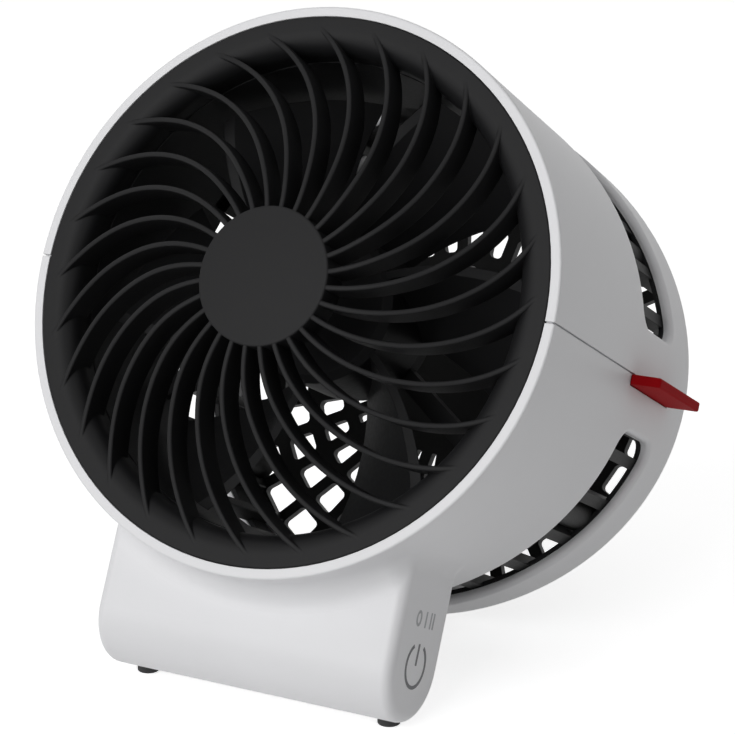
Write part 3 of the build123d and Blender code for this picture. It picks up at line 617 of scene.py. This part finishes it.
def lathe(shape, section, steps=256):
    """Turns a closed section of (radius, depth) points about the drum's axis."""
    loops = []
    for step in range(steps):
        angle = math.tau * step / steps
        turn = Vector((math.cos(angle), 0, math.sin(angle)))
        loops.append([shape.verts.new(turn * r + Vector((0, y, 0))) for r, y in section])
    join_loops(shape, loops, closed=True)


def rounded(corners, steps=5):
    """Closed section whose square corners, given as (x, y, radius), are rounded by arcs."""
    points = []
    count = len(corners)
    for i, (x, y, radius) in enumerate(corners):
        corner = Vector((x, y))
        before = Vector(corners[i - 1][:2]) - corner
        after = Vector(corners[(i + 1) % count][:2]) - corner
        cut = min(radius, ROUNDED_SHARE * before.length, ROUNDED_SHARE * after.length)
        if cut <= 0:
            points.append((x, y))
            continue
        start, end = before.normalized() * cut, after.normalized() * cut
        for step in range(steps + 1):
            turn = math.pi / 2 * step / steps
            point = corner + start * (1 - math.sin(turn)) + end * (1 - math.cos(turn))
            points.append((point.x, point.y))
    return points


# ---------------------------------------------------------------- front grille
# The dome of the ribs' front edges, in millimetres: where it starts inside the disc's edge,
# its (radius, depth) between disc and ring, and its (distance inside the ring's outside,
# depth) where it ends.
DOME_START = 2
DOME_MIDDLE = ((30, -11), (46, -6.4))
DOME_END = ((10.2, -1.3), (3, 0.1))
RIB_STEP = 0.1 * MM  # distance over which a rib's direction is taken


def dome_points(sizes):
    """Radius and depth of the ribs' front edge, from the hub disc to the ring."""
    edge = sizes.ring_outer_radius
    return (
        (sizes.disc_radius - DOME_START * MM, -sizes.disc_front),
        *((radius * MM, depth * MM) for radius, depth in DOME_MIDDLE),
        *((edge - inside * MM, depth * MM) for inside, depth in DOME_END),
    )


def dome_depth(points, radius):
    """Depth of the dome at a radius, on a smooth curve through its points."""
    slopes = []
    for i in range(len(points)):
        low, high = points[max(i - 1, 0)], points[min(i + 1, len(points) - 1)]
        slopes.append((high[1] - low[1]) / (high[0] - low[0]))
    for i in range(len(points) - 1):
        (r0, y0), (r1, y1) = points[i], points[i + 1]
        if radius <= r1:
            break
    span = r1 - r0
    t = (radius - r0) / span
    rise = y0 * (2 * t**3 - 3 * t**2 + 1) + y1 * (3 * t**2 - 2 * t**3)
    return rise + span * (slopes[i] * (t**3 - 2 * t**2 + t) + slopes[i + 1] * (t**3 - t**2))


def rib_angle(sizes, radius):
    """Angle about the fan's axis at which the first rib's middle crosses a radius."""
    far, arc = sizes.rib_arc_distance, sizes.rib_arc_radius
    share = (radius**2 + far**2 - arc**2) / (2 * radius * far)
    return sizes.rib_arc_angle - math.acos(share)


def add_rib(shape, sizes, turn, stations=34):
    """One swirled rib: a deep thin wall whose front edge is rounded."""
    start = sizes.disc_radius - sizes.rib_root
    end = sizes.ring_inner_radius + sizes.rib_reach
    half = sizes.rib_width / 2
    back = half - sizes.rib_draft / 2
    soft = sizes.rib_edge_radius
    section = rounded((
        (-half, 0, soft), (half, 0, soft),
        (back, sizes.rib_depth, 0), (-back, sizes.rib_depth, 0),
    ))
    points = dome_points(sizes)
    loops = []
    for step in range(stations):
        radius = start + (end - start) * step / (stations - 1)
        angle = rib_angle(sizes, radius)
        place = Vector((radius * math.cos(angle), 0, radius * math.sin(angle)))
        reach = radius + RIB_STEP
        ahead = rib_angle(sizes, reach)
        along = Vector((reach * math.cos(ahead), 0, reach * math.sin(ahead))) - place
        across = along.normalized().cross(Vector((0, 1, 0)))
        front = Vector((0, dome_depth(points, radius), 0))
        loop = [place + front + across * x + Vector((0, y, 0)) for x, y in section]
        loops.append([shape.verts.new(turn @ point) for point in loop])
    join_loops(shape, loops, closed=False)


def add_grille_ring(shape, sizes):
    """Flat ring that rolls into the collar, with the skirt that the shells hold."""
    outer, soft, thick = sizes.ring_outer_radius, sizes.ring_edge_radius, sizes.ring_thickness
    bead, skirt = outer + sizes.bead_height, outer - sizes.skirt_inset
    collar_inner = sizes.ring_inner_radius - sizes.ring_roll
    collar_outer = collar_inner + sizes.collar_wall
    low, far = sizes.collar_back, sizes.skirt_depth
    lathe(shape, rounded((
        (collar_inner, 0, sizes.ring_roll), (outer, 0, soft), (outer, thick, 0),
        (bead, thick, 0), (bead, far, 0), (skirt, far, 0), (skirt, thick, 0),
        (collar_outer, thick, 0), (collar_outer, low, 0), (collar_inner, low, 0),
    ), steps=12))


def add_hub_disc(shape, sizes):
    """Flat disc in the middle, with a soft edge and the rim on which the ribs end."""
    front = -sizes.disc_front
    back = front + sizes.rib_depth
    floor = front + sizes.disc_thickness
    radius = sizes.disc_radius
    inner = radius - sizes.disc_wall
    middle = 0.01 * MM  # just off the axis, where the turned faces would have no width
    lathe(shape, rounded((
        (middle, front, 0), (radius, front, sizes.disc_edge_radius), (radius, back, 0),
        (inner, back, 0), (inner, floor, 0), (middle, floor, 0),
    )))


# ---------------------------------------------------------------- guard bars
POST_SIDES = 24


def add_bar(shape, sizes, section, angle):
    """Straight bar with a (radius, width) section, from the grille forward at an angle."""
    height = sizes.outer_radius * math.sin(angle)
    rise = sizes.back_arc - math.sqrt(sizes.back_arc**2 - height**2)
    turn = Matrix.Rotation(-angle, 3, "Y")
    loops = []
    for depth in (sizes.front, sizes.back - rise):
        loops.append([shape.verts.new(turn @ Vector((r, depth, w))) for r, w in section])
    join_loops(shape, loops, closed=False)


def add_guard_bars(shape, sizes):
    """Bars that run forward from the back grille behind the side slots, and four posts."""
    soft = sizes.edge_radius
    half = sizes.width / 2
    section = rounded((
        (sizes.inner_radius, -half, soft), (sizes.outer_radius, -half, 0),
        (sizes.outer_radius, half, 0), (sizes.inner_radius, half, soft),
    ))
    for number in range(sizes.steps):
        # The grille's spokes lie half a step off the split plane.
        angle = math.tau * (number + 0.5) / sizes.steps
        height = abs(sizes.outer_radius * math.sin(angle))
        if sizes.low < height < sizes.high:
            add_bar(shape, sizes, section, angle)
    centre = sizes.outer_radius - sizes.post_radius
    post = [
        (centre + sizes.post_radius * math.cos(turn), sizes.post_radius * math.sin(turn))
        for turn in (math.tau * step / POST_SIDES for step in range(POST_SIDES))
    ]
    for angle in (sizes.post_angle, -sizes.post_angle):
        add_bar(shape, sizes, post, angle)
        add_bar(shape, sizes, post, math.pi - angle)


# ---------------------------------------------------------------- touch marks
INK_SINK = 0.01 * MM  # how far the ink reaches into the plastic, so that no gap shows
RING_STEPS = 48
NOUGHT_STEPS = 24
BAR_OFFSETS = (0.85 * MM, 3.8 * MM, 5.5 * MM)  # one bar, then two, behind the ring's centre


def add_stroke(shape, sizes, path, width, closed=False):
    """Printed line of even width along (depth, height) points on the foot's side."""
    half = width / 2
    count = len(path)
    loops = []
    for i, point in enumerate(path):
        before = path[i - 1] if closed or i else point
        after = path[(i + 1) % count] if closed or i < count - 1 else point
        along = (Vector(after) - Vector(before)).normalized()
        across = Vector((-along.y, along.x)) * half
        loop = []
        for side, height in ((1, 0), (1, 1), (-1, 1), (-1, 0)):
            spot = Vector(point) + across * side
            proud = sizes.side - INK_SINK + height * (sizes.ink_thickness + INK_SINK)
            loop.append(shape.verts.new((proud, spot.x, spot.y)))
        loops.append(loop)
    join_loops(shape, loops, closed=closed)


def add_power_ring(shape, sizes):
    """Open ring with a short upright stroke in its gap."""
    turn = math.tau - 2 * sizes.ring_gap
    ring = []
    for step in range(RING_STEPS + 1):
        angle = sizes.ring_gap + turn * step / RING_STEPS
        ring.append((
            sizes.ring_depth + sizes.ring_radius * math.sin(angle),
            sizes.ring_height + sizes.ring_radius * math.cos(angle),
        ))
    add_stroke(shape, sizes, ring, sizes.ring_width)
    centre = sizes.ring_height
    top = centre + sizes.ring_radius
    upright = ((sizes.ring_depth, top), (sizes.ring_depth, centre))
    add_stroke(shape, sizes, upright, sizes.ring_width)


def add_speed_figures(shape, sizes):
    """Plain figures for off, slow and fast: a nought, one bar and two bars."""
    middle = sizes.figure_middle
    half = sizes.figure_height / 2
    nought = []
    for step in range(NOUGHT_STEPS):
        angle = math.tau * step / NOUGHT_STEPS
        nought.append((
            sizes.ring_depth - sizes.nought_offset + sizes.nought_radius * math.sin(angle),
            middle + (half - sizes.line_width / 2) * math.cos(angle),
        ))
    add_stroke(shape, sizes, nought, sizes.line_width, closed=True)
    for offset in BAR_OFFSETS:
        depth = sizes.ring_depth + offset
        bar = ((depth, middle + half), (depth, middle - half))
        add_stroke(shape, sizes, bar, sizes.line_width)


# ---------------------------------------------------------------- operators
class FAN_OT_shells(bpy.types.Operator):
    """Finish the two white half shells"""

    bl_idname = "fan.shells"
    bl_label = "Half shells"

    def execute(self, context):
        # ABS, moulded in a spark-eroded mould: satin white, with a grain that only just shows.
        shell = moulded_plastic(
            "White ABS, spark-eroded mould", colours().shell,
            grain_mm=0.5, roughness=0.45, grain_depth_mm=0.008, mottle=0.02,
        )
        finish_nodes(shell, "upper_shell", "lower_shell")
        return {"FINISHED"}


class FAN_OT_front_grille(bpy.types.Operator):
    """Build the front grille with its soft moulded edges"""

    bl_idname = "fan.front_grille"
    bl_label = "Front grille"

    def execute(self, context):
        sizes = context.scene.fan_grille
        # ABS from a mould with a fine satin grain: a dark grey sheen on the flat ring and disc.
        black = moulded_plastic(
            "Black ABS, satin moulded", colours().grille,
            grain_mm=0.4, roughness=0.5, grain_depth_mm=0.006, gleam=0.13,
        )

        def grille(shape):
            add_hub_disc(shape, sizes)
            add_grille_ring(shape, sizes)
            for number in range(sizes.ribs):
                add_rib(shape, sizes, Matrix.Rotation(math.tau * number / sizes.ribs, 3, "Y"))

        piece = mesh_object("soft_front_grille", grille, black)
        piece.data.set_sharp_from_angle(angle=SHARP_ANGLE)
        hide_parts("front_grille")
        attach(piece, "housing")
        return {"FINISHED"}


class FAN_OT_air_path(bpy.types.Operator):
    """Finish the duct, sleeve, impeller and back grille, and build the guard bars"""

    bl_idname = "fan.air_path"
    bl_label = "Duct, impeller and back grille"

    def execute(self, context):
        # Polypropylene: a waxy near black, with slow flow marks.
        duct = moulded_plastic(
            "Black polypropylene, moulded", colours().duct,
            grain_mm=0.7, roughness=0.55, grain_depth_mm=0.012, ior=1.49, gleam=0.12,
        )
        finish_nodes(duct, "fan_frame", "inner_sleeve")
        # The duct's polypropylene, set darker as painted shade, so that the guards deep behind the
        # slots show nearly black.
        guard = moulded_plastic(
            "Black polypropylene, darkened as painted shade", colours().guard,
            grain_mm=0.7, roughness=0.55, grain_depth_mm=0.012, ior=1.49, gleam=0.2,
        )
        finish_nodes(guard, "back_grille")
        sizes = context.scene.fan_guard
        bars = mesh_object("guard_bars", lambda shape: add_guard_bars(shape, sizes), guard)
        bars.data.set_sharp_from_angle(angle=SHARP_ANGLE)
        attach(bars, "housing")
        # ABS from a polished mould: a little smoother than the duct, with only a faint sheen.
        blades = moulded_plastic(
            "Black ABS, polished mould", colours().impeller,
            grain_mm=1.2, roughness=0.45, grain_depth_mm=0.005, gleam=0.1,
        )
        finish_nodes(blades, "impeller")
        return {"FINISHED"}


class FAN_OT_motor(bpy.types.Operator):
    """Finish the motor: bell, magnet, shaft, bearings, stator, coils and board"""

    bl_idname = "fan.motor"
    bl_label = "Motor"

    def execute(self, context):
        shades = colours()
        # Deep-drawn and ground steel: rings about the axis, cool and fairly bright.
        steel = turned_metal("Steel, drawn and ground", shades.steel, roughness=0.32)
        finish_nodes(steel, "rotor_bell", "motor_shaft", "retaining_clip")
        # Brass off the lathe: warm, with finer rings than the bell.
        brass = turned_metal("Brass, turned", shades.brass, roughness=0.28, groove_mm=0.2)
        finish_nodes(brass, "bearing_tube")
        # Sintered bronze, soaked in oil: brown, with open pores drawn at 0.25 mm.
        bronze = granular("Bronze, sintered", shades.bronze, 0.25, roughness=0.45, metallic=1.0)
        finish_nodes(bronze, "front_bearing", "rear_bearing")
        # Hard ferrite: a charcoal ceramic with fine grains, drawn at 0.3 mm.
        ferrite = granular(
            "Ferrite, sintered", shades.ferrite, 0.3, roughness=0.6, metallic=0.0, ior=2.0,
        )
        finish_nodes(ferrite, "magnet_ring")
        # Electrical steel stampings 0.5 mm thick, stacked: dull bands across the depth.
        stack = banded(
            "Electrical steel, stacked", shades.sheet, shades.sheet_gap,
            pitch_mm=0.5, axis="Y", roughness=0.42, metallic=1.0,
        )
        finish_nodes(stack, "stator_core")
        # Enamelled wire 0.25 mm thick, wound side by side, drawn at 0.45 mm so that it shows.
        wire = banded(
            "Copper wire, enamelled", shades.copper, shades.wire_gap,
            pitch_mm=0.45, axis="X", roughness=0.25, metallic=0.8,
        )
        finish_nodes(wire, "stator_coils")
        finish_nodes(circuit_board(shades.mask), "motor_board")
        return {"FINISHED"}


class FAN_OT_screws(bpy.types.Operator):
    """Finish all screws"""

    bl_idname = "fan.screws"
    bl_label = "Screws"

    def execute(self, context):
        # Zinc-plated and passivated: silvery with a faint cloudy bloom.
        zinc = plated_steel("Steel, zinc plated", colours().zinc, roughness=0.3)
        finish_nodes(zinc, "motor_screws", "back_grille_screws", "board_screws")
        return {"FINISHED"}


class FAN_OT_tray(bpy.types.Operator):
    """Finish the red scent tray and its felt pad"""

    bl_idname = "fan.tray"
    bl_label = "Scent tray"

    def execute(self, context):
        # ABS coloured in the melt: a deep red that hardly shines, with the shells' fine grain.
        red = moulded_plastic(
            "Red ABS, satin moulded", colours().tray,
            grain_mm=0.5, roughness=0.6, grain_depth_mm=0.006, gleam=0.03,
        )
        finish_nodes(red, "scent_tray")
        finish_nodes(wool_felt(colours().felt), "scent_pad")
        return {"FINISHED"}


class FAN_OT_controls(bpy.types.Operator):
    """Finish the board, its parts, the socket and the lead, and print the touch marks"""

    bl_idname = "fan.controls"
    bl_label = "Controls"

    def execute(self, context):
        sizes, shades = context.scene.fan_marks, colours()
        finish_nodes(circuit_board(shades.mask), "control_board", "touch_sensor")
        # Epoxy filled with silica: a dead matt black, whose 0.05 mm grain is drawn at 0.2 mm.
        epoxy = granular(
            "Epoxy compound, moulded", shades.epoxy, 0.2, roughness=0.7, metallic=0.0,
        )
        finish_nodes(epoxy, "controller_chip")
        # Drawn aluminium can: pale, with the faint bloom of its coating.
        can = plated_steel("Aluminium can, drawn", shades.can, roughness=0.35)
        finish_nodes(can, "smoothing_capacitor")
        nickel = plated_steel("Steel, nickel plated", shades.nickel, roughness=0.25)
        finish_nodes(nickel, "power_socket")
        # Soft PVC, extruded: black with a dull sheen and a slight orange peel.
        jacket = moulded_plastic(
            "PVC jacket, extruded", shades.jacket,
            grain_mm=1.0, roughness=0.45, grain_depth_mm=0.02,
        )
        finish_nodes(jacket, "motor_lead")
        prints = (
            ("power_mark", add_power_ring, "Grey ink, screen printed", shades.ink),
            ("speed_figures", add_speed_figures, "Pale grey ink, screen printed", shades.pale_ink),
        )
        for name, draw, ink, code in prints:
            printed = printed_ink(ink, code)
            piece = mesh_object(name, lambda shape: draw(shape, sizes), printed, smooth=False)
            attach(piece, "housing")
        return {"FINISHED"}


class FAN_OT_feet(bpy.types.Operator):
    """Finish the four rubber pads"""

    bl_idname = "fan.feet"
    bl_label = "Rubber pads"

    def execute(self, context):
        # Nitrile rubber: a dry charcoal that hardly shines.
        rubber = moulded_plastic(
            "Nitrile rubber, moulded", colours().rubber,
            grain_mm=0.5, roughness=0.8, grain_depth_mm=0.02, ior=1.52,
        )
        finish_nodes(rubber, "front_pads", "rear_pads")
        return {"FINISHED"}


class FAN_OT_stage(bpy.types.Operator):
    """Add the floor, the lights and the camera"""

    bl_idname = "fan.stage"
    bl_label = "Stage"

    def execute(self, context):
        scene = context.scene
        scene.view_settings.view_transform = "Standard"
        place_camera(scene)
        lay_floor()
        hang_lights()
        light_world(scene)
        return {"FINISHED"}


# ---------------------------------------------------------------- stage
CAMERA_PLACE = (297.833, -535.581, -91.300)  # in the drum's frame, millimetres
CAMERA_RIGHT = (0.88496, 0.41746, 0.20634)
CAMERA_DOWN = (0.13181, 0.20041, -0.97080)
CAMERA_FORWARD = (-0.44662, 0.88632, 0.12233)
FOCAL_PIXELS = 2426.23
FRAME_PIXELS = 735
WHITE = (1.0, 1.0, 1.0, 1.0)


def place_camera(scene):
    """Camera at the photograph's place, fitted to the drum's rim, foot, slots and tab."""
    data = bpy.data.cameras.new("camera")
    data.sensor_width = 36.0
    data.lens = data.sensor_width * FOCAL_PIXELS / FRAME_PIXELS
    data.clip_start, data.clip_end = 0.05, 20.0
    camera = bpy.data.objects.new("camera", data)
    right, down, forward = (Vector(v) for v in (CAMERA_RIGHT, CAMERA_DOWN, CAMERA_FORWARD))
    turn = Matrix((right, -down, -forward)).transposed().to_4x4()
    camera.matrix_world = DRUM @ Matrix.Translation(Vector(CAMERA_PLACE) * MM) @ turn
    scene.collection.objects.link(camera)
    scene.camera = camera


def seen_white(tree, shader, light):
    """Shows a second shader to the camera, reflections and glass, and the first to the rest."""
    path = add_node(tree, "ShaderNodeLightPath")
    seen = add_node(
        tree, "ShaderNodeMath",
        {0: path.outputs["Is Camera Ray"], 1: path.outputs["Is Glossy Ray"]}, operation="MAXIMUM",
    )
    seen = add_node(
        tree, "ShaderNodeMath",
        {0: seen.outputs[0], 1: path.outputs["Is Transmission Ray"]}, operation="MAXIMUM",
    )
    return add_node(
        tree, "ShaderNodeMixShader", {"Fac": seen.outputs[0], 1: shader, 2: light},
    )


PAPER = 0.82  # linear share of light that the paper returns
PAPER_LIFT = 0.75  # strength that takes the lit paper to the backdrop's white; shadows stay
FLOOR_HALF = 4.0  # metres


def lay_floor():
    """Floor of matt white paper, which shows as the backdrop's white and keeps its shadows."""
    material = bpy.data.materials.new("Matt white paper")
    material.use_nodes = True
    tree = material.node_tree
    tree.nodes.clear()
    paper = add_node(tree, "ShaderNodeBsdfDiffuse", {"Color": (PAPER, PAPER, PAPER, 1.0)})
    glow = add_node(tree, "ShaderNodeEmission", {"Color": WHITE, "Strength": PAPER_LIFT})
    lifted = add_node(
        tree, "ShaderNodeAddShader", {0: paper.outputs["BSDF"], 1: glow.outputs["Emission"]},
    )
    mixed = seen_white(tree, paper.outputs["BSDF"], lifted.outputs["Shader"])
    add_node(tree, "ShaderNodeOutputMaterial", {"Surface": mixed.outputs["Shader"]})

    def sheet(shape):
        bmesh.ops.create_grid(shape, x_segments=1, y_segments=1, size=FLOOR_HALF)

    floor = mesh_object("floor", sheet, material, Matrix.Identity(4), smooth=False)


# Name, place in metres, size in metres and power in watts of each soft box.
SOFT_BOXES = (
    ("key", (-0.45, -1.6, 0.75), 1.5, 18.6),
    ("top", (-0.1, 0.2, 1.7), 1.4, 1.8),
    ("fill", (1.5, -0.3, 0.7), 1.2, 0.3),
)
LIGHTS_AIM = Vector((0, 0, 0.09))  # about the fan's middle, in metres


def hang_lights():
    """Soft boxes: a large key at the front left, a top light and a weak fill at the right."""
    for name, place, size, power in SOFT_BOXES:
        data = bpy.data.lights.new(name, "AREA")
        data.size = size
        data.energy = power
        lamp = bpy.data.objects.new(name, data)
        lamp.location = place
        lamp.rotation_mode = "QUATERNION"
        lamp.rotation_quaternion = (LIGHTS_AIM - lamp.location).to_track_quat("-Z", "Y")
        bpy.context.scene.collection.objects.link(lamp)


ROOM_STRENGTH = 0.25  # of the white room that lights the fan from all sides


def light_world(scene):
    """White room: it lights the fan softly, and shows as plain white behind it."""
    world = bpy.data.worlds.new("soft white room")
    world.use_nodes = True
    tree = world.node_tree
    tree.nodes.clear()
    room = add_node(tree, "ShaderNodeBackground", {"Color": WHITE, "Strength": ROOM_STRENGTH})
    seen = add_node(tree, "ShaderNodeBackground", {"Color": WHITE, "Strength": 1.0})
    mixed = seen_white(tree, room.outputs["Background"], seen.outputs["Background"])
    add_node(tree, "ShaderNodeOutputWorld", {"Surface": mixed.outputs["Shader"]})
    scene.world = world


# ---------------------------------------------------------------- panel and registration
class FAN_PT_panel(bpy.types.Panel):
    """Lists the fan's pieces and sizes"""

    bl_idname = "FAN_PT_panel"
    bl_label = "Fan finishes"
    bl_space_type = "VIEW_3D"
    bl_region_type = "UI"
    bl_category = "Fan"

    def draw(self, context):
        scene = context.scene
        for group in (scene.fan_colours, scene.fan_grille, scene.fan_guard, scene.fan_marks):
            box = self.layout.box()
            for name in group.__annotations__:
                box.prop(group, name)
        for operator in PIECES:
            self.layout.operator(operator.bl_idname)


PIECES = (
    FAN_OT_shells,
    FAN_OT_front_grille,
    FAN_OT_air_path,
    FAN_OT_motor,
    FAN_OT_screws,
    FAN_OT_tray,
    FAN_OT_controls,
    FAN_OT_feet,
    FAN_OT_stage,
)
CLASSES = (FanGrilleSizes, FanGuardSizes, FanMarkSizes, FanColours, *PIECES, FAN_PT_panel)


def register():
    for item in CLASSES:
        bpy.utils.register_class(item)
    bpy.types.Scene.fan_grille = PointerProperty(type=FanGrilleSizes)
    bpy.types.Scene.fan_guard = PointerProperty(type=FanGuardSizes)
    bpy.types.Scene.fan_marks = PointerProperty(type=FanMarkSizes)
    bpy.types.Scene.fan_colours = PointerProperty(type=FanColours)


def unregister():
    del bpy.types.Scene.fan_colours
    del bpy.types.Scene.fan_marks
    del bpy.types.Scene.fan_guard
    del bpy.types.Scene.fan_grille
    for item in reversed(CLASSES):
        bpy.utils.unregister_class(item)


def main():
    """Builds the fan's finishes and stage."""
    register()
    for operator in PIECES:
        group, name = operator.bl_idname.split(".")
        getattr(getattr(bpy.ops, group), name)()


if __name__ == "__main__":
    main()
